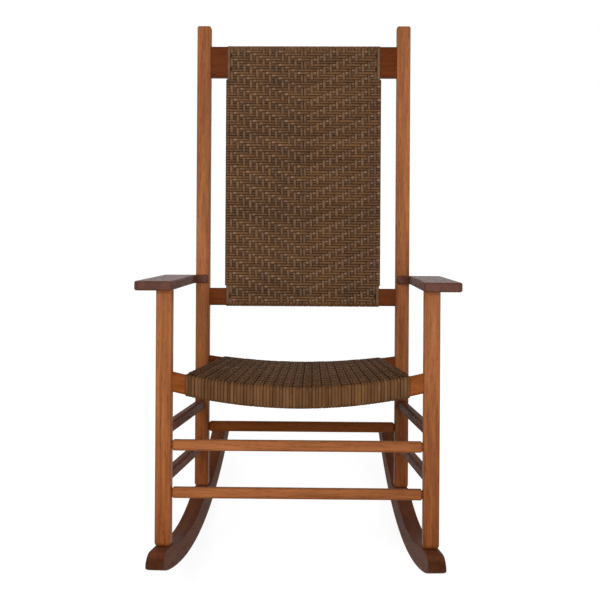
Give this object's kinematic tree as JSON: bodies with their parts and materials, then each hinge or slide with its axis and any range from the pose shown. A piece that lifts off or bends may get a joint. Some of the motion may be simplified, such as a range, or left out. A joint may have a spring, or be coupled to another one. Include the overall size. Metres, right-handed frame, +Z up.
{
  "type": "rocking chair",
  "caption": "High-backed porch rocking chair in square wood stock, with flat arms, curved rockers, and a woven splint seat and back.",
  "frame": {"origin": "on the floor, on the plane of symmetry, midway between the front and back ends of the rockers", "axes": "+X across the chair, to the right as seen from the front; +Y towards the back of the chair; +Z up"},
  "size_m": [0.65, 0.85, 1.1013],
  "materials": {
    "post_wood": "orange-brown oiled hardwood, satin, with eased edges",
    "rail_wood": "red-brown oiled hardwood, satin",
    "dark_wood": "dark walnut-brown oiled hardwood, satin",
    "bare_wood": "plain unfinished hardwood, hidden inside joints and weave",
    "splint": "woven brown bark-like splint in a twill, slightly glossy"
  },
  "bodies": {
    "root": {"rear_post_left": "post_wood", "rear_post_right": "post_wood", "front_post_left": "post_wood", "front_post_right": "post_wood", "front_stretcher_upper": "post_wood", "front_stretcher_lower": "post_wood", "rear_stretcher": "rail_wood", "seat_front_rail": "rail_wood", "seat_rear_rail": "rail_wood", "back_top_rail": "rail_wood", "back_lower_rail": "rail_wood", "rocker_left": "dark_wood", "rocker_right": "dark_wood", "arm_left": "dark_wood", "arm_right": "dark_wood", "side_stretcher_left_upper": "dark_wood", "side_stretcher_left_lower": "dark_wood", "side_stretcher_right_upper": "dark_wood", "side_stretcher_right_lower": "dark_wood", "woven_back": "splint", "woven_seat": "splint", "seat_side_rail_left": "bare_wood", "seat_side_rail_right": "bare_wood", "back_side_rod_left": "bare_wood", "back_side_rod_right": "bare_wood", "front_rocker_dowels": "bare_wood", "rear_rocker_dowels": "bare_wood", "arm_dowels": "bare_wood"}
  },
  "joints": []
}
